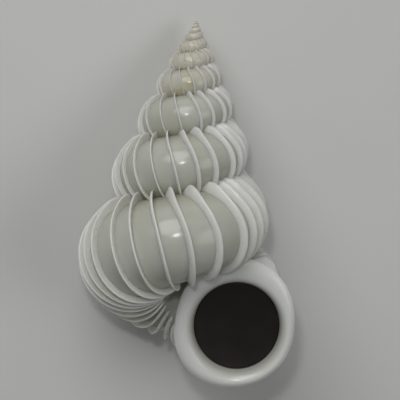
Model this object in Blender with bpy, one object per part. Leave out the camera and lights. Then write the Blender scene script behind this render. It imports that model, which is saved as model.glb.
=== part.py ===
"""A wentletrap shell lying on its back, with the horny lid that closes its opening.

The shell is one hollow tube, wound in a spiral that widens towards the opening. Ribs
like thin blades stand round the tube, and a thick rolled lip ends it. The lid is a
dished disc of its own, held a little way inside the lip.

The shell is worked out in its own frame: the winding axis is Z with the tip up, and
the opening faces -Y. At the end it is laid down, so that the tip points along +Y and
the opening faces up. Turns are counted back from the opening, and a drop is measured
down the axis from the point where the spiral would shrink to nothing.
"""

import math

import bmesh
import bpy
from mathutils import Matrix, Vector

MM = 0.001

# The winding
GROWTH = 1.50              # how much the shell widens in one turn
OPENING_DROP = 32.5 * MM   # drop of the tube's middle at the opening
REACH = 0.27               # axis to the tube's middle, as a share of the drop
REACH_FADE = 89.0 * MM     # the lower turns lie closer in, by drop / REACH_FADE
TUBE = 0.231               # the tube's radius, as a share of the drop
TUBE_FADE = 187.0 * MM
TIP_SLIMMING = 0.15 * MM   # the first turns are a little thinner than the rule
SLANT = math.radians(18.5)  # the ribs' lean, square to the way the tube runs down

# The last part of the tube, which stops widening and swings outwards and down
HOLD_TURNS = 0.5
SWING_TURNS = 0.7
END_REACH = 1.28 * MM
END_DROP = 1.34 * MM
END_WIDER = 0.03
END_TALLER = 0.10
END_SLANT = math.radians(14.0)

# The ribs. The same angles serve every whorl, because each rib runs on into a rib of
# the next. The photographed ones are given in degrees right of the front's middle.
RIBS_A_TURN = 19
FRONT_RIBS = (-64, -46, -31, -13, 6, 25, 46, 66)
FRONT_TURN = 0.75          # the front's middle, in turns back from the opening
BOW = 8.5 / 360            # a rib's ends run ahead of its middle, in turns
BOW_FROM = 0.30            # nearer the opening it fades out
RIB_HEIGHT = 0.17          # as shares of the tube's radius
SUTURE_HEIGHT = 0.10
HOOK_HEIGHT = 0.09
HOOK_PLACE = 0.13          # from the upper suture to the lower one
HOOK_SPREAD = 0.08
RIB_FOOT = 0.0045          # half the blade's foot, in turns
RIB_LEAN = 0.0050          # how far the blade's edge leans back, in turns
UPPER_FADE = (-0.50, 0.40)  # where the blade ends above, by the cosine, and its run-out
UNDER_FADE = (-0.75, 0.50)  # the same below

# The varix, a bundle of close blades behind the lip
VARIX_RIBS = (0.016, 0.038, 0.064)
VARIX_CLEAR = 0.02         # from the varix to the nearest rib, in turns
VARIX_HEIGHT = 0.19
VARIX_VALLEY = 0.35        # how much of that is left between two blades
VARIX_FIN = 0.26           # the fins that reach up to the whorl above
FIN_ANGLE = math.radians(76)
FIN_SPREAD = math.radians(17)

# The grid of the spire's skin. A rib has three rows: foot, edge and foot. The rows
# lean by one rib from suture to suture, most of it above the whorl's middle.
LEAN_ABOVE = 0.75
LEAN_BELOW = 0.25
ROWS_A_RIB = 3
ROWS_A_TURN = RIBS_A_TURN * ROWS_A_RIB
ROWS_DOWN = ROWS_A_TURN - ROWS_A_RIB
COLUMNS = 9
SPIRE_FROM = 84            # first row of the spire; the tube below is made of other solids
RIBBED_TO = 261            # smaller whorls stay plain in this model
PLAIN_STEP = 6
SPIRE_TO = 489
TIP_DROP = 0.40 * MM
HUB_DROP = 19.5 * MM
WHORL_PARTS = 3            # the last whorl's solids
TUCK = 0.965               # two solids shrink into each other where they join
TUCK_TURNS = 0.035
BELOW = math.radians(24)   # how far the spire's skin runs on below the lowest suture
SUTURE_SEARCH = (math.radians(35), math.radians(100))
SEARCH_STEPS = 30

# The lip, in lengths beyond the tube. Each step of a profile is a share of the way to
# the lip's front and a share of the rise or the flare there.
LIP_RISE = 0.95 * MM
LIP_INNER_EXTRA = 0.30 * MM
LIP_TOP_EXTRA = 1.45 * MM
LIP_CORNER_EXTRA = 0.55 * MM
LIP_CORNER = math.radians(-135)
LIP_FRONT = 0.85 * MM
LIP_PROFILE = ((1.0, 0.55), (0.75, 0.92), (0.2, 1.0))
MOUTH_FLARE = 0.55 * MM
MOUTH_PROFILE = ((1.6, 2.2), (0.75, 0.6), (0.2, 0.0))

# The hollow
WALL_SHARE = 0.13          # the wall, as a share of the tube's radius
HOLLOW_TURNS = 2.4
HOLLOW_STEP = 1 / 13
HOLLOW_END = 0.6           # the last ring, as a share of the hollow's width

# The foot of the central pillar, below the spire
PILLAR_TOP = 17.0 * MM
PILLAR_FOOT = 27.5 * MM
PILLAR_RADIUS = 2.0 * MM
PILLAR_SIDES = 10
AXIS_CLEAR = 0.5 * MM      # the tube's inner side stops short of the axis

# The lid
LID_GAP = 0.3 * MM
LID_DEPTH = 0.55 * MM      # from the opening's plane down to the lid's rim
LID_THICK = 0.35 * MM
LID_DISH = 0.40 * MM
LID_RINGS = (0.35, 0.75, 1.0)
LID_SIDES = 28

# The section's corners: most of them on the outer side, which shows
OUTER_CORNERS = 10
INNER_CORNERS = 4
OUTER_FROM = math.radians(-105)
OUTER_TO = math.radians(111)
HOLLOW_SIDES = 18
SMOOTH_UNDER = math.radians(35)

SHELL_WHITE = (0.80, 0.80, 0.76)
SHELL_ROUGHNESS = 0.25
HORN_BROWN = (0.02, 0.014, 0.010)
HORN_ROUGHNESS = 0.30

# How the shell lies, and where the point of zero drop comes
SPIN = math.radians(-8.144)
NOD = math.radians(-18.371)
APEX = Vector((-0.9639, 19.5629, 2.3043)) * MM


def clear_scene():
    for item in list(bpy.data.objects):
        bpy.data.objects.remove(item, do_unlink=True)


def make_collection(name):
    group = bpy.data.collections.new(name)
    bpy.context.scene.collection.children.link(group)
    return group


def make_material(name, colour, roughness):
    material = bpy.data.materials.new(name)
    material.use_nodes = True
    shader = material.node_tree.nodes["Principled BSDF"]
    shader.inputs["Base Color"].default_value = (*colour, 1.0)
    shader.inputs["Roughness"].default_value = roughness
    shader.inputs["Metallic"].default_value = 0.0
    return material


# The tube

def spiral_drop(turns):
    return OPENING_DROP * GROWTH ** -turns


def slimming(drop):
    return drop / (drop + TIP_SLIMMING)


def tube_radius(turns):
    drop = spiral_drop(max(turns, HOLD_TURNS))
    return TUBE * drop * (1 - drop / TUBE_FADE) * slimming(drop)


def tube_middle(turns):
    """The tube's middle, as its distance from the axis and its drop."""
    drop = spiral_drop(turns)
    reach = REACH * drop * (1 - drop / REACH_FADE) * slimming(drop)
    swing = max(0.0, 1 - turns / SWING_TURNS)
    return reach + END_REACH * swing ** 1.5, drop + END_DROP * swing ** 2


def section_axes(turns):
    """The tube's middle, and its outward, upward and forward directions."""
    reach, drop = tube_middle(turns)
    slant = SLANT + (END_SLANT - SLANT) * max(0.0, 1 - turns / HOLD_TURNS)
    around = 2 * math.pi * turns
    outward = Vector((math.cos(around), math.sin(around), 0))
    onward = Vector((math.sin(around), -math.cos(around), 0))
    axis = Vector((0, 0, 1))
    upward = onward * math.sin(slant) + axis * math.cos(slant)
    forward = onward * math.cos(slant) - axis * math.sin(slant)
    middle = outward * reach - axis * drop
    return middle, outward, upward, forward


def section_angles():
    outer = [OUTER_FROM + (OUTER_TO - OUTER_FROM) * i / (OUTER_CORNERS - 1) for i in range(OUTER_CORNERS)]
    gap = (2 * math.pi - (OUTER_TO - OUTER_FROM)) / (INNER_CORNERS + 1)
    inner = [OUTER_TO + gap * (i + 1) for i in range(INNER_CORNERS)]
    return outer + inner


def even_angles(count):
    return [2 * math.pi * i / count for i in range(count)]


def bow(turns, angle):
    """How far the corner at an angle of the section runs ahead of its outer one."""
    return BOW * (1 - math.cos(angle)) * min(1.0, turns / BOW_FROM)


def ring(turns, angles, rise=None, ahead=0.0, share=1.0):
    """The corners of the tube's section; rise(angle) is what stands on its skin."""
    corners = []
    for angle in angles:
        place = turns - bow(turns, angle)
        middle, outward, upward, forward = section_axes(place)
        ending = max(0.0, 1 - place / HOLD_TURNS)
        radius = tube_radius(place) * share
        wide = radius * (1 + END_WIDER * ending)
        tall = radius * (1 + END_TALLER * ending)
        extra = rise(angle) if rise else 0.0
        reach, _ = tube_middle(place)
        sideways = outward * max(math.cos(angle) * (wide + extra), AXIS_CLEAR - reach)
        lengthways = upward * math.sin(angle) * (tall + extra)
        corners.append(middle + sideways + lengthways + forward * ahead)
    return corners


def finish_mesh(mesh_builder, name, group):
    bmesh.ops.recalc_face_normals(mesh_builder, faces=mesh_builder.faces)
    mesh = bpy.data.meshes.new(name)
    mesh_builder.to_mesh(mesh)
    mesh_builder.free()
    piece = bpy.data.objects.new(name, mesh)
    group.objects.link(piece)
    return piece


def loft(name, rings, group):
    mesh_builder = bmesh.new()
    rows = [[mesh_builder.verts.new(point) for point in corners] for corners in rings]
    for near, far in zip(rows, rows[1:]):
        for i in range(len(near)):
            j = (i + 1) % len(near)
            mesh_builder.faces.new((near[i], near[j], far[j], far[i]))
    for row in (rows[0], rows[-1]):
        middle = mesh_builder.verts.new(sum((corner.co for corner in row), Vector()) / len(row))
        for i in range(len(row)):
            mesh_builder.faces.new((row[i - 1], row[i], middle))
    bmesh.ops.triangulate(mesh_builder, faces=mesh_builder.faces)
    return finish_mesh(mesh_builder, name, group)


# The ribs

def rib_share(place):
    """The blade's height at a place from the upper suture (0) to the lower one (1)."""
    sides = abs(2 * place - 1) ** 6
    hook = math.exp(-((place - HOOK_PLACE) / HOOK_SPREAD) ** 2)
    return RIB_HEIGHT + (SUTURE_HEIGHT - RIB_HEIGHT) * sides + HOOK_HEIGHT * hook


def wrapped(angle):
    return (angle + math.pi) % (2 * math.pi) - math.pi


def ring_rib_share(angle):
    """The same round the whole section: it fades out against the axis."""
    turned = wrapped(angle)
    start, run = UPPER_FADE if turned > 0 else UNDER_FADE
    fade = min(1.0, max(0.0, (math.cos(turned) - start) / run))
    if turned < 0:
        return fade * RIB_HEIGHT
    return fade * rib_share(max(0.0, 0.5 - turned / math.pi))


def varix_share(angle):
    fin = VARIX_FIN * math.exp(-((wrapped(angle) - FIN_ANGLE) / FIN_SPREAD) ** 2)
    return ring_rib_share(angle) * VARIX_HEIGHT / RIB_HEIGHT + fin


def rib_turn(number):
    """Where a rib stands, in turns back from the opening."""
    whorl, place = divmod(number, RIBS_A_TURN)
    shown = len(FRONT_RIBS) - 1
    if place <= shown:
        degrees = FRONT_RIBS[place]
    else:
        hidden = 360 - (FRONT_RIBS[-1] - FRONT_RIBS[0])
        degrees = FRONT_RIBS[-1] + hidden * (place - shown) / (RIBS_A_TURN - shown)
    return whorl - 1 + FRONT_TURN + degrees / 360


def rib_rings(station, angles):
    """From the younger side to the older one."""
    radius = tube_radius(station)
    return [
        ring(station - RIB_FOOT, angles),
        ring(station + RIB_LEAN, angles, lambda angle: radius * ring_rib_share(angle)),
        ring(station + RIB_LEAN + RIB_FOOT / 2, angles),
    ]


# The spire's skin

def section_place(turns, angle, rise=0.0, share=1.0):
    """A point of the upright section, as its distance from the axis and its height."""
    reach, drop = tube_middle(turns)
    radius = tube_radius(turns) * share
    tall = radius / math.cos(SLANT)
    across = reach + (radius + rise) * math.cos(angle)
    return across, (tall + rise) * math.sin(angle) - drop


def upper_suture(turns):
    """The angle on a whorl's section where the whorl above meets it."""
    reach, drop = tube_middle(turns + 1)
    radius = tube_radius(turns + 1)
    tall = radius / math.cos(SLANT)
    outside, inside = SUTURE_SEARCH
    for _ in range(SEARCH_STEPS):
        angle = (outside + inside) / 2
        across, height = section_place(turns, angle)
        reading = ((across - reach) / radius) ** 2 + ((height + drop) / tall) ** 2
        if reading > 1:
            outside = angle
        else:
            inside = angle
    return angle


def lower_suture(turns):
    """The angle on a whorl's section where it meets the whorl below."""
    across, height = section_place(turns - 1, upper_suture(turns - 1))
    reach, drop = tube_middle(turns)
    radius = tube_radius(turns)
    tall = radius / math.cos(SLANT)
    return math.atan2((height + drop) / tall, (across - reach) / radius)


def skin_point(turns, place, crest=False, below=0.0, share=1.0):
    """A point of the skin; place runs from the upper suture (0) to the lower (1)."""
    top = upper_suture(turns)
    foot = lower_suture(turns)
    angle = top + (foot - top) * place
    end, share_of_lean = (top, LEAN_ABOVE) if angle > 0 else (-foot, LEAN_BELOW)
    lean = -share_of_lean / RIBS_A_TURN * math.sin(angle) / math.sin(end)
    turns += lean
    top = upper_suture(turns)
    foot = lower_suture(turns)
    angle = top + (foot - top) * place - below
    rise = tube_radius(turns) * rib_share(place) if crest else 0.0
    across, height = section_place(turns, angle, rise, share)
    around = 2 * math.pi * turns
    return Vector((across * math.cos(around), across * math.sin(around), height))


def row_turn(row):
    number, part = divmod(row, ROWS_A_RIB)
    return rib_turn(number) + (-RIB_FOOT, RIB_LEAN, RIB_LEAN + RIB_FOOT / 2)[part]


def spire_rows():
    rows = list(range(SPIRE_FROM, RIBBED_TO))
    return rows + list(range(RIBBED_TO, SPIRE_TO + 1, PLAIN_STEP))


def spire(group):
    """All the whorls above the last one, as one skin whose sutures are shared."""
    mesh_builder = bmesh.new()
    rows = spire_rows()
    first_turn = row_turn(rows[0])
    skin = {}
    below = {}
    for row in rows:
        turns = row_turn(row)
        crest = row % ROWS_A_RIB == 1 and row < RIBBED_TO
        share = TUCK if turns < first_turn + TUCK_TURNS else 1.0
        skin[row] = [
            mesh_builder.verts.new(skin_point(turns, i / COLUMNS, crest, share=share))
            for i in range(COLUMNS)
        ]
        if row - ROWS_DOWN < rows[0]:
            point = skin_point(turns, 1.0, False, BELOW, share)
            below[row] = mesh_builder.verts.new(point)
    tip = mesh_builder.verts.new((0, 0, -TIP_DROP))
    hub = mesh_builder.verts.new((0, 0, -HUB_DROP))

    def foot_line(near, far):
        """The corners along the lower edge of the skin between two rows."""
        if far in below:
            return [below[near], below[far]]
        if near in below:
            return [below[near], skin[far - ROWS_DOWN][0]]
        between = [row for row in rows if near - ROWS_DOWN <= row <= far - ROWS_DOWN]
        return [skin[row][0] for row in between]

    for near, far in zip(rows, rows[1:]):
        for i in range(COLUMNS - 1):
            corners = (skin[near][i], skin[near][i + 1], skin[far][i + 1], skin[far][i])
            mesh_builder.faces.new(corners)
        mesh_builder.faces.new([skin[near][-1], *foot_line(near, far), skin[far][-1]])
        if far in below:
            mesh_builder.faces.new((below[near], hub, below[far]))
        if near > rows[-1] - ROWS_DOWN - 1:
            mesh_builder.faces.new((skin[near][0], skin[far][0], tip))
    last_below = max(below)
    mesh_builder.faces.new([*skin[rows[0]], below[rows[0]], hub, below[last_below]])
    mesh_builder.faces.new([*skin[rows[-1]], skin[rows[-1] - ROWS_DOWN][0], tip])
    bmesh.ops.triangulate(mesh_builder, faces=mesh_builder.faces)
    return finish_mesh(mesh_builder, "spire", group)


# The lip

def lip_rise(angle):
    inner = LIP_INNER_EXTRA * max(0.0, -math.cos(angle))
    top = LIP_TOP_EXTRA * max(0.0, math.sin(angle)) ** 1.5
    corner = LIP_CORNER_EXTRA * max(0.0, math.cos(wrapped(angle - LIP_CORNER))) ** 3
    return LIP_RISE + inner + top + corner


def lip_rings(angles):
    """From the lip's face back to the last blade of the varix."""
    rings = []
    for front, share in LIP_PROFILE:
        rings.append(ring(0, angles, lambda angle: share * lip_rise(angle), LIP_FRONT * front))
    height = tube_radius(0)
    valley = height * VARIX_VALLEY
    for station in VARIX_RIBS:
        rings.append(ring(station - RIB_FOOT, angles, lambda angle: valley * varix_share(angle)))
        rings.append(ring(station + RIB_FOOT / 2, angles, lambda angle: height * varix_share(angle)))
    rings.append(ring(VARIX_RIBS[-1] + RIB_FOOT * 2, angles))
    return rings


# The shell

def last_whorl(group):
    """The last whorl in three parts, so that none meets itself."""
    angles = section_angles()
    first_row_turn = row_turn(SPIRE_FROM)
    stations = [rib_turn(number) for number in range(SPIRE_FROM // ROWS_A_RIB)]
    stations = [turns for turns in stations if VARIX_RIBS[-1] + VARIX_CLEAR < turns < first_row_turn]
    ends = [len(stations) // WHORL_PARTS * (i + 1) for i in range(WHORL_PARTS - 1)]
    rings = lip_rings(angles)
    parts = []
    for number, station in enumerate(stations):
        rings += rib_rings(station, angles)
        if number in ends:
            joint = (station + stations[number + 1]) / 2
            parts.append(rings + [ring(joint + TUCK_TURNS / 3, angles, share=TUCK)])
            rings = [ring(joint - TUCK_TURNS / 3, angles, share=TUCK)]
    rings.append(ring(first_row_turn + TUCK_TURNS, angles, share=TUCK))
    parts.append(rings)
    return [loft(f"whorl_part_{i + 1}", rings, group) for i, rings in enumerate(parts)]


def hollow_cutter(group):
    angles = even_angles(HOLLOW_SIDES)
    inside = 1 - WALL_SHARE
    rings = []
    for front, share in MOUTH_PROFILE:
        rings.append(ring(0, angles, lambda angle: share * MOUTH_FLARE, LIP_FRONT * front, inside))
    turns = HOLLOW_STEP / 2
    while turns < HOLLOW_TURNS:
        rings.append(ring(turns, angles, share=inside))
        turns += HOLLOW_STEP
    rings.append(ring(turns, angles, share=inside * HOLLOW_END))
    return loft("hollow_cutter", rings, group)


def pillar(group):
    length = PILLAR_FOOT - PILLAR_TOP
    mesh_builder = bmesh.new()
    bmesh.ops.create_cone(
        mesh_builder,
        cap_ends=True,
        segments=PILLAR_SIDES,
        radius1=PILLAR_RADIUS,
        radius2=PILLAR_RADIUS,
        depth=length,
        matrix=Matrix.Translation((0, 0, -(PILLAR_TOP + PILLAR_FOOT) / 2)),
    )
    return finish_mesh(mesh_builder, "pillar", group)


def add_boolean(target, name, operation, other):
    step = target.modifiers.new(name, "BOOLEAN")
    step.operation = operation
    step.solver = "EXACT"
    step.object = other


def evaluated_mesh(source, name):
    graph = bpy.context.evaluated_depsgraph_get()
    return bpy.data.meshes.new_from_object(source.evaluated_get(graph), depsgraph=graph)


def fill_pockets(mesh):
    """Keep the largest island, which fills the closed spaces between the turns."""
    mesh_builder = bmesh.new()
    mesh_builder.from_mesh(mesh)
    islands = []
    waiting = set(mesh_builder.verts)
    while waiting:
        island = []
        frontier = [waiting.pop()]
        while frontier:
            corner = frontier.pop()
            island.append(corner)
            for edge in corner.link_edges:
                other = edge.other_vert(corner)
                if other in waiting:
                    waiting.remove(other)
                    frontier.append(other)
        islands.append(island)
    largest = max(islands, key=len)
    loose = [corner for island in islands if island is not largest for corner in island]
    bmesh.ops.delete(mesh_builder, geom=loose, context="VERTS")
    mesh_builder.to_mesh(mesh)
    mesh_builder.free()


def make_shell(group, helpers):
    youngest, *others = last_whorl(helpers)
    for piece in (*others, pillar(helpers), spire(helpers)):
        add_boolean(youngest, f"join {piece.name}", "UNION", piece)
    joined = evaluated_mesh(youngest, "joined")
    fill_pockets(joined)
    whole = bpy.data.objects.new("whole", joined)
    helpers.objects.link(whole)
    add_boolean(whole, "hollow", "DIFFERENCE", hollow_cutter(helpers))
    shell = bpy.data.objects.new("shell", evaluated_mesh(whole, "shell"))
    group.objects.link(shell)
    for piece in list(helpers.objects):
        bpy.data.objects.remove(piece, do_unlink=True)
    return shell


# The lid

def make_lid(group):
    angles = even_angles(LID_SIDES)
    inside = 1 - WALL_SHARE
    radius = tube_radius(0) * inside
    rings = []
    for layer, depth in enumerate((LID_DEPTH, LID_DEPTH + LID_THICK)):
        row = []
        for share in LID_RINGS:
            ahead = -depth - LID_DISH * (1 - share ** 2)
            shrink = (radius - LID_GAP) * share - radius
            row.append(ring(0, angles, lambda angle: shrink, ahead, inside))
        rings += row if layer == 0 else row[::-1]
    return loft("operculum", rings, group)


def lay_down(piece):
    """Tip along +Y and opening up, then spun about the axis and nodded to rest."""
    on_its_back = Matrix.Rotation(math.radians(-90), 4, "X")
    spin = Matrix.Rotation(SPIN, 4, "Z")
    nod = Matrix.Rotation(NOD, 4, "X")
    place = Matrix.Translation(APEX) @ nod @ on_its_back @ spin
    piece.data.transform(place)


def main():
    clear_scene()
    group = make_collection("wentletrap shell")
    helpers = make_collection("wentletrap helpers")
    shell = make_shell(group, helpers)
    lid = make_lid(group)
    shell.data.materials.clear()
    shell.data.materials.append(make_material("white shell", SHELL_WHITE, SHELL_ROUGHNESS))
    lid.data.materials.append(make_material("dark horn", HORN_BROWN, HORN_ROUGHNESS))
    for piece in (shell, lid):
        lay_down(piece)
        piece.data.shade_smooth()
        piece.data.set_sharp_from_angle(angle=SMOOTH_UNDER)


main()
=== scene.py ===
# %% [markdown]
# # A wentletrap shell
# A wentletrap is a sea snail whose shell is one tube, wound in a tall spiral. Each
# time the animal rested it turned its lip outwards, and that lip stayed behind as a
# thin white rib. This lesson builds the shell from the rule that the spiral follows,
# so nearly all of it comes from a few named numbers and two Geometry Nodes trees.

import math
import random

import bmesh
import bpy
import numpy as np
from mathutils import Matrix, Vector


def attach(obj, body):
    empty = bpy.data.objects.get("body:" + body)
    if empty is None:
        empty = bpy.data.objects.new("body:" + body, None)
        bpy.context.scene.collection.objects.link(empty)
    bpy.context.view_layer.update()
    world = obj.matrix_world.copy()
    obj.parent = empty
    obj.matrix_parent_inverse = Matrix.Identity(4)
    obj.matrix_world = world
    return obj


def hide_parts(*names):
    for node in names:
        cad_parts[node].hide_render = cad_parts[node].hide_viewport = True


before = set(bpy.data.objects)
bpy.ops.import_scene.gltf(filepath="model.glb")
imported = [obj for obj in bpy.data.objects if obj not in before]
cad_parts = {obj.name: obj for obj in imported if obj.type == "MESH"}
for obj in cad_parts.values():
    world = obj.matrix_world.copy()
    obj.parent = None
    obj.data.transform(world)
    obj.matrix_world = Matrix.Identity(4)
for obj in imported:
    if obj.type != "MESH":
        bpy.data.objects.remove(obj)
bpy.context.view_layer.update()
MM = 0.001
FULL_TURN = 2 * math.pi
print("solids:", sorted(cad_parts))

# %% [markdown]
# ## Arithmetic that serves numbers and nodes
# The same formula has to place the nodes' points and the points that plain mesh code
# makes. So it is written once, in Python. A small class wraps a node's socket, and
# its operators add Math nodes, while plain numbers and arrays are simply worked out.

# %% Sockets that take part in arithmetic
PLAIN = {
    "SINE": np.sin,
    "COSINE": np.cos,
    "MAXIMUM": np.maximum,
    "MINIMUM": np.minimum,
    "EXPONENT": np.exp,
}


class Link:
    """An output socket that takes part in ordinary arithmetic."""

    def __init__(self, tree, socket):
        self.tree = tree
        self.socket = socket

    def out(self, name):
        return Link(self.tree, self.socket.node.outputs[name])

    def __add__(self, other):
        return maths("ADD", self, other)

    def __radd__(self, other):
        return maths("ADD", other, self)

    def __sub__(self, other):
        return maths("SUBTRACT", self, other)

    def __rsub__(self, other):
        return maths("SUBTRACT", other, self)

    def __mul__(self, other):
        return maths("MULTIPLY", self, other)

    def __rmul__(self, other):
        return maths("MULTIPLY", other, self)

    def __truediv__(self, other):
        return maths("DIVIDE", self, other)

    def __rtruediv__(self, other):
        return maths("DIVIDE", other, self)

    def __pow__(self, other):
        return maths("POWER", self, other)

    def __rpow__(self, other):
        return maths("POWER", other, self)

    def __neg__(self):
        return maths("MULTIPLY", self, -1.0)


def maths(operation, *terms):
    """One step of arithmetic, worked out at once or added as a Math node."""
    links = [term for term in terms if isinstance(term, Link)]
    if not links:
        return PLAIN[operation](*terms)
    return links[0].tree.add("ShaderNodeMath", {"operation": operation}, terms)


def sine(angle):
    return maths("SINE", angle)


def cosine(angle):
    return maths("COSINE", angle)


def larger(a, b):
    return maths("MAXIMUM", a, b)


def smaller(a, b):
    return maths("MINIMUM", a, b)


def bell(value, middle, spread):
    """1 at the middle, falling smoothly to 0 on both sides."""
    away = (value - middle) / spread
    return maths("EXPONENT", -(away * away))


def ramp(value, start, end):
    """0 before start and 1 after end."""
    return larger(0.0, smaller(1.0, (value - start) / (end - start)))


# %% One method that adds any node
class Tree:
    """A node tree: add() takes a node's type, its settings and its sockets' values."""

    def __init__(self, nodes):
        self.nodes = nodes

    def add(self, kind, settings=None, values=(), output=0):
        node = self.nodes.nodes.new(kind)
        for name, value in (settings or {}).items():
            if name == "stops":
                set_stops(node.color_ramp, value)
            else:
                setattr(node, name, value)
        pairs = values.items() if isinstance(values, dict) else enumerate(values)
        for socket, value in pairs:
            self.feed(node.inputs[socket], value)
        return Link(self, node.outputs[output])

    def feed(self, socket, value):
        if isinstance(value, Link):
            self.nodes.links.new(value.socket, socket)
        else:
            socket.default_value = value


def set_stops(colour_ramp, stops):
    while len(colour_ramp.elements) < len(stops):
        colour_ramp.elements.new(1.0)
    for element, (place, colour) in zip(colour_ramp.elements, stops):
        element.position = place
        element.color = (*colour, 1.0)


# %% [markdown]
# ## The rule of the spiral
# Seen from the tip, the tube winds clockwise and widens by the same share in every
# turn. Turns are counted back from the opening, and a drop is measured down the
# axis from the point where the spiral would shrink to nothing. The rule gives, for
# any turn and any angle round the tube, the point on its skin.

# %% The winding, in the proportions that the photo shows
GROWTH = 1.50              # how much the shell widens in one turn
OPENING_DROP = 32.5 * MM
REACH = 0.27               # axis to the tube's middle, as a share of the drop
REACH_FADE = 89.0 * MM
TUBE = 0.231               # the tube's radius, as a share of the drop
TUBE_FADE = 187.0 * MM
TIP_SLIMMING = 0.15 * MM
SLANT = math.radians(18.5)
HOLD_TURNS = 0.5           # near the opening the tube stops widening
SWING_TURNS = 0.7          # and swings outwards and down
END_REACH = 1.28 * MM
END_DROP = 1.34 * MM
END_WIDER = 0.03
END_TALLER = 0.10
END_SLANT = math.radians(14.0)
BOW = 8.5 / 360            # a rib's ends run ahead of its middle, in turns
BOW_FROM = 0.30


def spiral_drop(turns):
    return OPENING_DROP * GROWTH ** -turns


def slimming(drop):
    return drop / (drop + TIP_SLIMMING)


def tube_radius(turns):
    drop = spiral_drop(larger(turns, HOLD_TURNS))
    return TUBE * drop * (1 - drop / TUBE_FADE) * slimming(drop)


def tube_middle(turns):
    """The tube's middle, as its distance from the axis and its drop."""
    drop = spiral_drop(turns)
    reach = REACH * drop * (1 - drop / REACH_FADE) * slimming(drop)
    swing = larger(0.0, 1 - turns / SWING_TURNS)
    return reach + END_REACH * swing ** 1.5, drop + END_DROP * swing * swing


def bowed(turns, angle):
    return turns - BOW * (1 - cosine(angle)) * smaller(1.0, turns / BOW_FROM)


def spot(turns, angle, rise=0.0, ahead=0.0):
    """The point on the tube's skin, or rise above it and ahead along the tube."""
    place = bowed(turns, angle)
    reach, drop = tube_middle(place)
    radius = tube_radius(place)
    ending = larger(0.0, 1 - place / HOLD_TURNS)
    slant = SLANT + (END_SLANT - SLANT) * ending
    outward = cosine(angle) * (radius * (1 + END_WIDER * ending) + rise)
    upward = sine(angle) * (radius * (1 + END_TALLER * ending) + rise)
    from_axis = reach + outward
    onward = upward * sine(slant) + ahead * cosine(slant)
    height = upward * cosine(slant) - ahead * sine(slant) - drop
    around = FULL_TURN * place
    x = cosine(around) * from_axis + sine(around) * onward
    y = sine(around) * from_axis - cosine(around) * onward
    return x, y, height


print("tube radius at the opening, mm:", round(float(tube_radius(0.0)) / MM, 2))

# %% [markdown]
# ## How it lies
# The shell is worked out upright, with the tip up. A long shell can't stand, so it
# is laid down with its opening up, where three ribs carry it. A finished piece keeps
# its place in its mesh, so this turn goes into the points.

# %% The turn that lays the shell down
SPIN = math.radians(-8.144)
NOD = math.radians(-18.371)
APEX = Vector((-0.9639, 19.5629, 2.3043)) * MM

on_its_back = Matrix.Rotation(math.radians(-90), 4, "X")
lying = Matrix.Translation(APEX) @ Matrix.Rotation(NOD, 4, "X") @ on_its_back @ Matrix.Rotation(SPIN, 4, "Z")


def new_piece(name, mesh):
    """A finished piece: laid down, in the scene, riding on the shell's one body."""
    mesh.name = name
    mesh.transform(lying)
    piece = bpy.data.objects.new(name, mesh)
    bpy.context.scene.collection.objects.link(piece)
    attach(piece, "root")
    print(name, "faces:", len(mesh.polygons))
    return piece


# %% [markdown]
# ## Running a Geometry Nodes tree
# Each tree ends in Set Material. Its result is copied into a plain mesh, and the
# modifier goes with the helper object that carried it.

# %% Trees with named inputs
def new_geometry_tree(name, inputs):
    """A tree with a geometry input and output, and the named inputs after them."""
    nodes = bpy.data.node_groups.new(name, "GeometryNodeTree")
    nodes.interface.new_socket(name="Geometry", in_out="OUTPUT", socket_type="NodeSocketGeometry")
    nodes.interface.new_socket(name="Geometry", in_out="INPUT", socket_type="NodeSocketGeometry")
    for label, (kind, _) in inputs.items():
        nodes.interface.new_socket(name=label, in_out="INPUT", socket_type="NodeSocket" + kind)
    tree = Tree(nodes)
    return tree, tree.add("NodeGroupInput")


def end_geometry_tree(tree, geometry, material):
    smooth = tree.add("GeometryNodeSetShadeSmooth", None, {"Geometry": geometry})
    painted = tree.add("GeometryNodeSetMaterial", None, {"Geometry": smooth, "Material": material})
    tree.add_output(painted)


def run_tree(name, tree, inputs, base_mesh):
    helper = bpy.data.objects.new(name, base_mesh)
    bpy.context.scene.collection.objects.link(helper)
    modifier = helper.modifiers.new(name, "NODES")
    modifier.node_group = tree.nodes
    for item in tree.nodes.interface.items_tree:
        if item.in_out == "INPUT" and item.name in inputs:
            modifier[item.identifier] = inputs[item.name][1]
    graph = bpy.context.evaluated_depsgraph_get()
    mesh = bpy.data.meshes.new_from_object(helper.evaluated_get(graph), depsgraph=graph)
    bpy.data.objects.remove(helper, do_unlink=True)
    return mesh


def add_output(tree, geometry):
    end = tree.nodes.nodes.new("NodeGroupOutput")
    tree.feed(end.inputs[0], geometry)


Tree.add_output = add_output


def keep(tree, geometry, label, value):
    """Stores a number on the points, for later steps and for the material."""
    settings = {"data_type": "FLOAT", "domain": "POINT"}
    values = {"Geometry": geometry, "Name": label, "Value": value}
    return tree.add("GeometryNodeStoreNamedAttribute", settings, values)


def named(tree, label):
    return tree.add("GeometryNodeInputNamedAttribute", {"data_type": "FLOAT"}, {"Name": label})


def placed(tree, geometry, point):
    x, y, z = point
    position = tree.add("ShaderNodeCombineXYZ", None, (x, y, z))
    return tree.add("GeometryNodeSetPosition", None, {"Geometry": geometry, "Position": position})


# %% [markdown]
# ## Materials come first
# The trees ask for a material. The white of the shell is thin and lets light in,
# so the skin between the ribs looks grey and a little blue, with small olive patches,
# while the ribs are thicker and whiter. Painted shade darkens the skin towards olive
# along the sutures. The top whorls are filled in and look creamy.

# %% A material with one shader
def new_material(name, **constants):
    material = bpy.data.materials.new(name)
    material.use_nodes = True
    tree = Tree(material.node_tree)
    shader = material.node_tree.nodes["Principled BSDF"]
    for label, value in constants.items():
        shader.inputs[label.replace("_", " ")].default_value = value
    return material, tree, shader


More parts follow.
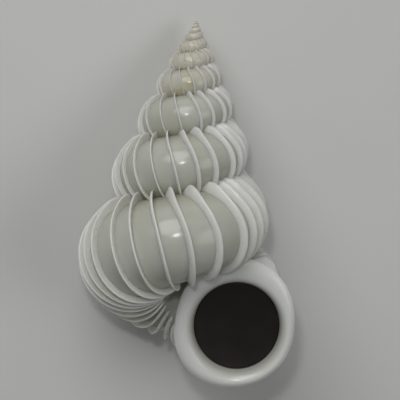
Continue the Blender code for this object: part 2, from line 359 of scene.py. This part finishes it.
def mixed(tree, share, first, second):
    """A colour part of the way from the first to the second."""
    settings = {"data_type": "RGBA"}
    first = (*first, 1.0) if isinstance(first, tuple) else first
    second = (*second, 1.0) if isinstance(second, tuple) else second
    return tree.add("ShaderNodeMix", settings, {0: share, 6: first, 7: second}, 2)


def attribute(tree, label):
    return tree.add("ShaderNodeAttribute", {"attribute_name": label}, (), 2)


def noise(tree, scale, detail=2.0, vector=None):
    values = {"Scale": scale, "Detail": detail}
    values["Vector"] = vector or tree.add("ShaderNodeTexCoord").out("Object")
    return tree.add("ShaderNodeTexNoise", None, values)


# %% The thin skin
SKIN_GREY = (0.49, 0.49, 0.42)
SKIN_BLUE = (0.55, 0.57, 0.52)
# painted shade: the dark olive that is laid along the sutures between the whorls
PAINTED_SUTURE_SHADE = (0.36, 0.34, 0.26)
TIP_CREAM = (0.66, 0.62, 0.52)
PATCH_OLIVE = (0.44, 0.41, 0.22)
SCATTER = (1.0, 0.92, 0.78)


def make_skin_material():
    material, tree, shader = new_material(
        "thin white shell",
        Subsurface_Weight=0.55,
        Subsurface_Radius=SCATTER,
        Subsurface_Scale=1.1 * MM,
        IOR=1.53,
        Coat_Roughness=0.08,
    )
    turns = attribute(tree, "turn")
    angle = attribute(tree, "angle")
    cloud = noise(tree, 180.0)
    colour = mixed(tree, ramp(cloud, 0.35, 0.7) * 0.8, SKIN_GREY, SKIN_BLUE)
    top = ramp(turns, 2.6, 5.2)
    colour = mixed(tree, top * 0.9, colour, TIP_CREAM)
    # Painted shade: the skin turns darker and olive near the sutures, where the whorls meet
    suture_shade = larger(ramp(angle, 0.75, 1.35), ramp(angle, -0.35, -0.95) * ramp(turns, 0.9, 1.1))
    colour = mixed(tree, suture_shade * 0.5 * (1 - top), colour, PAINTED_SUTURE_SHADE)
    patch = larger(
        bell(turns, 3.74, 0.03) * bell(angle, 0.1, 0.8),
        bell(turns, 3.66, 0.05) * bell(angle, -0.55, 0.25),
    )
    colour = mixed(tree, patch * 0.7, colour, PATCH_OLIVE)
    tree.feed(shader.inputs["Base Color"], colour)
    tree.feed(shader.inputs["Roughness"], 0.16 + 0.10 * noise(tree, 900.0))
    growth = noise(tree, 1.0, 3.0, tree.add("ShaderNodeCombineXYZ", None, (turns * 260.0, angle * 1.5, 0.0)))
    bump = tree.add("ShaderNodeBump", None, {"Strength": 0.12, "Distance": 0.04 * MM, "Height": growth})
    tree.feed(shader.inputs["Normal"], bump)
    return material


skin_material = make_skin_material()
print(skin_material.name)

# %% The thicker ribs
RIB_WHITE = (0.78, 0.78, 0.73)
RIB_SHADE = (0.62, 0.62, 0.57)


def make_rib_material():
    material, tree, shader = new_material(
        "white ribs",
        Subsurface_Weight=0.6,
        Subsurface_Radius=SCATTER,
        Subsurface_Scale=0.8 * MM,
        IOR=1.53,
        Coat_Roughness=0.08,
    )
    height = attribute(tree, "height")
    turns = attribute(tree, "turn")
    colour = mixed(tree, ramp(height, 0.05, 0.7), RIB_SHADE, RIB_WHITE)
    colour = mixed(tree, ramp(turns, 2.6, 5.0) * 0.8, colour, TIP_CREAM)
    cloud = ramp(noise(tree, 500.0), 0.45, 0.75)
    colour = mixed(tree, cloud * 0.25, colour, RIB_SHADE)
    tree.feed(shader.inputs["Base Color"], colour)
    tree.feed(shader.inputs["Roughness"], 0.22 + 0.15 * noise(tree, 1500.0))
    return material


rib_material = make_rib_material()
print(rib_material.name)

# %% [markdown]
# ## The whorls
# The tube is a flat grid whose two directions become the turn and the angle round
# the section. Set Position sends each point where the rule says. Neighbouring
# whorls run into each other a little, which gives the deep line between them.

# %% The tree of the whorls
SKIN_TURNS = 10.9
SKIN_ROWS = 1000
SKIN_SIDES = 64
ROW_EASE = 1.35            # rows lie closer together on the large whorls
TIP_CLOSES = 0.3           # the first turns shrink to a point
MERGE = 0.0002 * MM

skin_inputs = {
    "Rows": ("Int", SKIN_ROWS),
    "Sides": ("Int", SKIN_SIDES),
    "Turns": ("Float", SKIN_TURNS),
    "Material": ("Material", skin_material),
}


def grid_shares(tree):
    """The place on a grid of one by one, from 0 to 1 both ways."""
    position = tree.add("GeometryNodeInputPosition")
    parts = tree.add("ShaderNodeSeparateXYZ", None, (position,))
    return parts.out("X") + 0.5, parts.out("Y") + 0.5


def whorls_tree():
    tree, given = new_geometry_tree("whorls", skin_inputs)
    values = {"Vertices X": given.out("Rows"), "Vertices Y": given.out("Sides") + 1}
    grid = tree.add("GeometryNodeMeshGrid", None, {"Size X": 1.0, "Size Y": 1.0, **values})
    down, across = grid_shares(tree)
    grid = keep(tree, grid, "turn", given.out("Turns") * down ** ROW_EASE)
    grid = keep(tree, grid, "angle", (across - 0.5) * FULL_TURN)
    turns = named(tree, "turn")
    angle = named(tree, "angle")
    closing = ramp(turns, given.out("Turns") - TIP_CLOSES, given.out("Turns"))
    shrink = -tube_radius(turns) * (1 - (1 - closing * closing) ** 0.5)
    # the bow is taken back towards the tip, so that the last row meets in one point
    unbowed = turns + BOW * (1 - cosine(angle)) * closing
    skin = placed(tree, grid, spot(unbowed, angle, shrink))
    skin = tree.add("GeometryNodeMergeByDistance", None, {"Geometry": skin, "Distance": MERGE})
    end_geometry_tree(tree, skin, given.out("Material"))
    return tree


whorl_mesh = run_tree("whorls", whorls_tree(), skin_inputs, bpy.data.meshes.new("empty"))
print("whorls:", len(whorl_mesh.vertices), "points")

# %% [markdown]
# ## The ribs
# Every rib is the same small blade, bent round the tube at its own turn. Its post is
# a single vertex that carries the blade's numbers as attributes. The tree puts a
# straight blade on each post, and Set Position bends all of them with the one rule.

# %% Where the ribs stand
FRONT_TURN = 0.75          # the front's middle, in turns back from the opening
# measured on the photo, in degrees right of the front's middle, whorl by whorl
FRONT_RIBS = (
    (-74.5, -64.5, -46, -31.5, -14, 4, 24, 45, 56, 66, 79),
    (-78, -63.5, -48.5, -30, -11, 9, 26.5, 48, 61, 73),
    (-80, -62, -37, -14, 13, 32, 53.5, 74),
    (-69.5, -41.5, -19.5, 2.5, 25, 47, 70),
    (-70, -46, -23, 0, 23, 46, 68),
    (-70, -46, -23, 0, 23, 46, 68),
    (-70, -46, -23, 0, 23, 46, 68),
)
HIDDEN_SPACING = 19.5
FIRST_RIBS = (0.105, 0.150, 0.195, 0.240, 0.285, 0.33, 0.375, 0.42, 0.465, 0.508)
VARIX_RIBS = (0.016, 0.038, 0.064)


def rib_turns():
    """Every rib behind the varix, from the opening to the tip."""
    stations = list(FIRST_RIBS)
    for whorl, front in enumerate(FRONT_RIBS):
        stations += [whorl + FRONT_TURN + degrees / 360 for degrees in front]
        if whorl + 1 < len(FRONT_RIBS):
            hidden = 360 + FRONT_RIBS[whorl + 1][0] - front[-1]
            count = round(hidden / HIDDEN_SPACING)
            last = stations[-1]
            stations += [last + hidden / 360 * i / count for i in range(1, count)]
    return stations


# %% The posts
RIB_HEIGHT = 0.165         # as a share of the tube's radius
HOOK_HEIGHT = 0.45         # the hook at the shoulder, as a share of the rib's height
VARIX_HEIGHT = 0.22
VARIX_HOOK = 1.3
RIB_TOP = math.radians(104)
OPEN_FOOT = math.radians(-150)
FRONT_FOOT = math.radians(-112)
COVERED_FOOT = math.radians(-72)
SMALL_RIBS_FROM = 5.0

draws = random.Random(5)


def add_post(posts, turns, height, hook, foot):
    posts.append({"turn": turns, "tall": height, "hook": hook, "foot": foot})


def rib_posts():
    posts = []
    for turns in VARIX_RIBS:
        add_post(posts, turns, VARIX_HEIGHT, VARIX_HOOK, OPEN_FOOT)
    for turns in rib_turns():
        height = RIB_HEIGHT * draws.uniform(0.93, 1.07)
        height *= max(0.35, min(1.0, 1 - (turns - SMALL_RIBS_FROM) * 0.35))
        hook = HOOK_HEIGHT * draws.uniform(0.8, 1.2)
        if turns < 0.70:
            foot = OPEN_FOOT
        elif turns < 1.02:
            foot = FRONT_FOOT
        else:
            foot = COVERED_FOOT
        add_post(posts, turns, height, hook, foot)
    return posts


def posts_mesh(posts):
    mesh = bpy.data.meshes.new("rib posts")
    mesh.from_pydata([(0, 0, 0)] * len(posts), [], [])
    for label in posts[0]:
        values = mesh.attributes.new(label, "FLOAT", "POINT")
        values.data.foreach_set("value", [post[label] for post in posts])
    return mesh


posts = rib_posts()
print("ribs:", len(posts))

# %% The tree of the ribs
BLADE_SIDES = 12
BLADE_STEPS = 30
BLADE_THICKNESS = 0.052    # as a share of the tube's radius
BLADE_LEAN = 0.50          # how far the edge leans back, as a share of the height
BLADE_FILLET = 1.6
SINK = 0.06                # the foot's depth below the skin, as a share of the radius
HOOK_ANGLE = math.radians(68)
HOOK_SPREAD = math.radians(15)
ROUND_END = 0.14           # the share of the blade's length that its ends take

rib_inputs = {
    "Sides": ("Int", BLADE_SIDES),
    "Steps": ("Int", BLADE_STEPS),
    "Thickness": ("Float", BLADE_THICKNESS),
    "Lean": ("Float", BLADE_LEAN),
    "Fillet": ("Float", BLADE_FILLET),
    "Material": ("Material", rib_material),
}


def straight_blade(tree, given):
    """A closed rod: its round section becomes the blade's, its length the rib's."""
    values = {"Vertices": given.out("Sides"), "Side Segments": given.out("Steps")}
    rod = tree.add("GeometryNodeMeshCylinder", None, {**values, "Radius": 1.0, "Depth": 1.0})
    position = tree.add("GeometryNodeInputPosition")
    parts = tree.add("ShaderNodeSeparateXYZ", None, (position,))
    rod = keep(tree, rod, "height", (parts.out("X") + 1) / 2)
    rod = keep(tree, rod, "side", parts.out("Y"))
    return keep(tree, rod, "along", parts.out("Z") + 0.5)


def ribs_tree():
    tree, given = new_geometry_tree("ribs", rib_inputs)
    blade = straight_blade(tree, given)
    values = {"Points": given.out("Geometry"), "Instance": blade}
    ribs = tree.add("GeometryNodeInstanceOnPoints", None, values)
    ribs = tree.add("GeometryNodeRealizeInstances", None, {"Geometry": ribs})
    turns, height, side, along = (named(tree, label) for label in ("turn", "height", "side", "along"))
    angle = RIB_TOP + (named(tree, "foot") - RIB_TOP) * along
    radius = tube_radius(turns)
    hook = 1 + named(tree, "hook") * bell(angle, HOOK_ANGLE, HOOK_SPREAD)
    ends = smaller(1.0, larger(0.0, smaller(along, 1 - along) / ROUND_END))
    ends = (1 - (1 - ends) * (1 - ends)) ** 0.5
    tall = radius * named(tree, "tall") * hook * ends
    flat_side = larger(-1.0, smaller(1.0, side * 2.2))
    low = 1 - height
    younger = larger(flat_side, 0.0) * (1 + given.out("Fillet") * low * low * low)
    older = smaller(flat_side, 0.0)
    half = radius * given.out("Thickness") / 2
    ahead = half * (younger + older) - given.out("Lean") * tall * height * height
    rise = tall * height - radius * SINK * low
    ribs = keep(tree, ribs, "angle", angle)
    ribs = placed(tree, ribs, spot(turns, angle, rise, ahead))
    end_geometry_tree(tree, ribs, given.out("Material"))
    return tree


rib_mesh = run_tree("ribs", ribs_tree(), rib_inputs, posts_mesh(posts))
print("ribs:", len(rib_mesh.polygons), "faces")

# %% [markdown]
# ## The lip
# The tube ends in a thick lip that rolls outwards, and its inner side slopes down
# to the lid. The lip is one profile carried round the opening, and it is wider
# at some angles than at others, so mesh code is the plainest way to make it.

# %% The lip's profile
LIP_RISE = 0.95 * MM
LIP_INNER_EXTRA = 0.30 * MM
LIP_TOP_EXTRA = 1.45 * MM
LIP_CORNER_EXTRA = 0.55 * MM
LIP_CORNER = math.radians(-135)
LIP_FRONT = 0.85 * MM
WALL_SHARE = 0.13
LIP_SIDES = SKIN_SIDES * 3
# each step: share of the lip's width outwards, share of the wall inwards, way forward
LIP_STEPS = (
    (0.00, 0.00, 0.00),
    (0.40, 0.00, -0.10),
    (0.80, 0.00, 0.02),
    (0.98, 0.00, 0.22),
    (1.00, 0.00, 0.40),
    (0.90, 0.00, 0.66),
    (0.70, 0.00, 0.90),
    (0.48, 0.00, 1.00),
    (0.25, 0.00, 0.97),
    (0.05, 0.05, 0.82),
    (0.00, 0.35, 0.55),
    (0.00, 0.65, 0.20),
    (0.00, 0.85, -0.20),
    (0.00, 0.97, -0.70),
    (0.00, 1.00, -1.40),
    (0.00, 1.00, -2.40),
)


def lip_width(angle):
    inner = LIP_INNER_EXTRA * larger(0.0, -cosine(angle))
    top = LIP_TOP_EXTRA * larger(0.0, sine(angle)) ** 1.5
    corner = LIP_CORNER_EXTRA * larger(0.0, cosine(angle - LIP_CORNER)) ** 3
    return LIP_RISE + inner + top + corner


def smooth_steps(steps, between):
    """A smooth curve through the steps."""
    points = np.array(steps)
    points = np.vstack([2 * points[0] - points[1], points, 2 * points[-1] - points[-2]])
    made = []
    for a, b, c, d in zip(points, points[1:], points[2:], points[3:]):
        for i in range(between):
            s = i / between
            bend = (2 * a - 5 * b + 4 * c - d) * s ** 2 + (3 * b - a - 3 * c + d) * s ** 3
            made.append(b + ((c - a) * s + bend) / 2)
    made.append(points[-2])
    return made


def lip_rows():
    angles = np.linspace(math.pi, -math.pi, LIP_SIDES, endpoint=False)
    wall = WALL_SHARE * tube_radius(0.0)
    rows = []
    for outwards, inwards, forwards in smooth_steps(LIP_STEPS, 3):
        rise = outwards * lip_width(angles) - inwards * wall
        rows.append(np.stack(spot(0.0 * angles, angles, rise, forwards * LIP_FRONT), 1))
    return rows


def loft_mesh(name, rows, capped):
    """A skin over the rings, with a face over each ring that capped lists."""
    builder = bmesh.new()
    rings = [[builder.verts.new(point) for point in row] for row in rows]
    for near, far in zip(rings, rings[1:]):
        for i in range(len(near)):
            builder.faces.new((near[i - 1], near[i], far[i], far[i - 1]))
    for place in capped:
        builder.faces.new(rings[place])
    bmesh.ops.recalc_face_normals(builder, faces=builder.faces)
    mesh = bpy.data.meshes.new(name)
    builder.to_mesh(mesh)
    builder.free()
    mesh.shade_smooth()
    return mesh


# %% The lip's material
def make_lip_material():
    material, tree, shader = new_material(
        "white lip",
        Subsurface_Weight=0.6,
        Subsurface_Radius=SCATTER,
        Subsurface_Scale=1.0 * MM,
        IOR=1.53,
    )
    place = attribute(tree, "place")
    # The inner wall darkens down towards the lid: partly the inner rim's own greyer cream, partly painted
    # shade down into the throat
    colour = mixed(tree, ramp(place, 0.55, 0.75), (0.76, 0.77, 0.74), (0.50, 0.50, 0.44))
    tree.feed(shader.inputs["Base Color"], colour)
    tree.feed(shader.inputs["Roughness"], 0.15 + 0.12 * noise(tree, 900.0))
    return material


lip_material = make_lip_material()
rows = lip_rows()
lip_mesh = loft_mesh("lip", rows, (-1,))
places = lip_mesh.attributes.new("place", "FLOAT", "POINT")
places.data.foreach_set("value", [i / (len(rows) - 1) for i in range(len(rows)) for _ in range(LIP_SIDES)])
lip_mesh.materials.append(lip_material)
print("lip:", len(lip_mesh.polygons), "faces")

# %% [markdown]
# ## The lid
# The animal shuts itself in with a thin, dark, horny lid. Here it is a shallow dish:
# rings of the rim's own shape, each one smaller and deeper, with a small face in the
# middle. The curved lines that its growth leaves are not made.

# %% The lid's dish
LID_SIDES = 120
LID_RINGS = 48
LID_BACK_RINGS = 6
LID_MIDDLE = 0.004         # the innermost ring, which one small face closes
LID_DEPTH = 0.50 * MM
LID_DISH = 0.45 * MM
LID_THICK = 0.35 * MM
LID_GAP = 0.05 * MM


def lid_layer(lowered, rings):
    """Rings from the lid's middle to its rim, all of the rim's own shape."""
    angles = np.linspace(math.pi, -math.pi, LID_SIDES, endpoint=False)
    rim_rise = -WALL_SHARE * tube_radius(0.0) - LID_GAP
    layer = []
    for share in np.linspace(LID_MIDDLE, 1.0, rings):
        depth = lowered + LID_DISH * (1 - share ** 2)
        rim = np.stack(spot(0.0 * angles, angles, rim_rise, -depth), 1)
        middle = rim.mean(axis=0)
        layer.append(middle + (rim - middle) * share)
    return layer


def lid_rows():
    front = lid_layer(LID_DEPTH, LID_RINGS)
    back = lid_layer(LID_DEPTH + LID_THICK, LID_BACK_RINGS)
    return front + back[::-1]


def make_lid_material():
    material, tree, shader = new_material("dark horn", IOR=1.5)
    colour = mixed(tree, noise(tree, 400.0), (0.004, 0.004, 0.005), (0.02, 0.014, 0.010))
    tree.feed(shader.inputs["Base Color"], colour)
    tree.feed(shader.inputs["Roughness"], 0.25 + 0.2 * noise(tree, 700.0))
    return material


lid_material = make_lid_material()
lid_mesh = loft_mesh("operculum", lid_rows(), (0, -1))
lid_mesh.materials.append(lid_material)

# %% [markdown]
# ## Into the frame
# The shell's pieces stand for the plain solid, and the lid for the plain lid.

# %% Pieces
whorls = new_piece("whorls", whorl_mesh)
ribs = new_piece("ribs", rib_mesh)
lip = new_piece("lip", lip_mesh)
lid = new_piece("lid", lid_mesh)
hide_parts("shell")
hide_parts("operculum")

# %% [markdown]
# ## Floor, light and camera
# A plain pale floor and soft light. The camera stands where the photo was taken
# from, far away with a long lens, and looks down on the shell.

# %% Floor
FLOOR_HALF = 0.6


def make_floor():
    corners = [(x * FLOOR_HALF, y * FLOOR_HALF, 0) for x, y in ((-1, -1), (1, -1), (1, 1), (-1, 1))]
    mesh = bpy.data.meshes.new("floor")
    mesh.from_pydata(corners, [], [(0, 1, 2, 3)])
    floor = bpy.data.objects.new("floor", mesh)
    bpy.context.scene.collection.objects.link(floor)
    material, tree, shader = new_material("pale floor", Roughness=0.8)
    colour = mixed(tree, noise(tree, 60.0, 4.0), (0.76, 0.76, 0.74), (0.79, 0.79, 0.77))
    tree.feed(shader.inputs["Base Color"], colour)
    mesh.materials.append(material)
    return floor


floor = make_floor()

# %% Camera
PIXEL = 0.11 * MM          # one pixel of the photo on the shell
PICTURE = 400
LEAN_IN_PICTURE = math.radians(4.04)
TIP_TO_CAMERA = math.radians(-4.0)
APEX_RIGHT = 196.4
APEX_DOWN = 17.2
DISTANCE = 0.60
SENSOR = 36.0

right = Vector((math.cos(LEAN_IN_PICTURE), -math.sin(TIP_TO_CAMERA) * math.sin(LEAN_IN_PICTURE),
                math.cos(TIP_TO_CAMERA) * math.sin(LEAN_IN_PICTURE)))
up = Vector((-math.sin(LEAN_IN_PICTURE), -math.sin(TIP_TO_CAMERA) * math.cos(LEAN_IN_PICTURE),
             math.cos(TIP_TO_CAMERA) * math.cos(LEAN_IN_PICTURE)))
middle = right * (PICTURE / 2 - APEX_RIGHT) * PIXEL + up * (APEX_DOWN - PICTURE / 2) * PIXEL
turn = lying.to_3x3()
right, up = turn @ right, turn @ up
back = right.cross(up)
middle = lying @ middle

camera = bpy.data.objects.new("camera", bpy.data.cameras.new("camera"))
bpy.context.scene.collection.objects.link(camera)
camera.data.sensor_width = SENSOR
camera.data.lens = SENSOR * DISTANCE / (PICTURE * PIXEL)
camera.data.clip_start = 0.01
camera_turn = Matrix((right, up, back)).transposed().to_4x4()
camera.matrix_world = Matrix.Translation(middle + back * DISTANCE) @ camera_turn
bpy.context.scene.camera = camera
print("camera looks along", [round(-part, 3) for part in back])

# %% Lights
def add_light(name, place, size, watts, colour=(1.0, 1.0, 1.0)):
    lamp = bpy.data.lights.new(name, "AREA")
    lamp.shape = "DISK"
    lamp.size = size
    lamp.energy = watts
    lamp.color = colour
    light = bpy.data.objects.new(name, lamp)
    light.location = middle + right * place[0] + up * place[1] + back * place[2]
    light.rotation_mode = "QUATERNION"
    light.rotation_quaternion = (light.location - middle).to_track_quat("Z", "Y")
    bpy.context.scene.collection.objects.link(light)
    return light


add_light("large soft light", (-0.10, 0.22, 0.35), 0.30, 0.75)
add_light("fill light", (0.30, -0.05, 0.30), 0.25, 0.25)
add_light("small light", (-0.02, 0.06, 0.45), 0.03, 0.25)

world = bpy.data.worlds.new("soft room")
world.use_nodes = True
world.node_tree.nodes["Background"].inputs["Color"].default_value = (0.80, 0.81, 0.82, 1.0)
world.node_tree.nodes["Background"].inputs["Strength"].default_value = 0.15
bpy.context.scene.world = world
bpy.context.scene.view_settings.view_transform = "Standard"
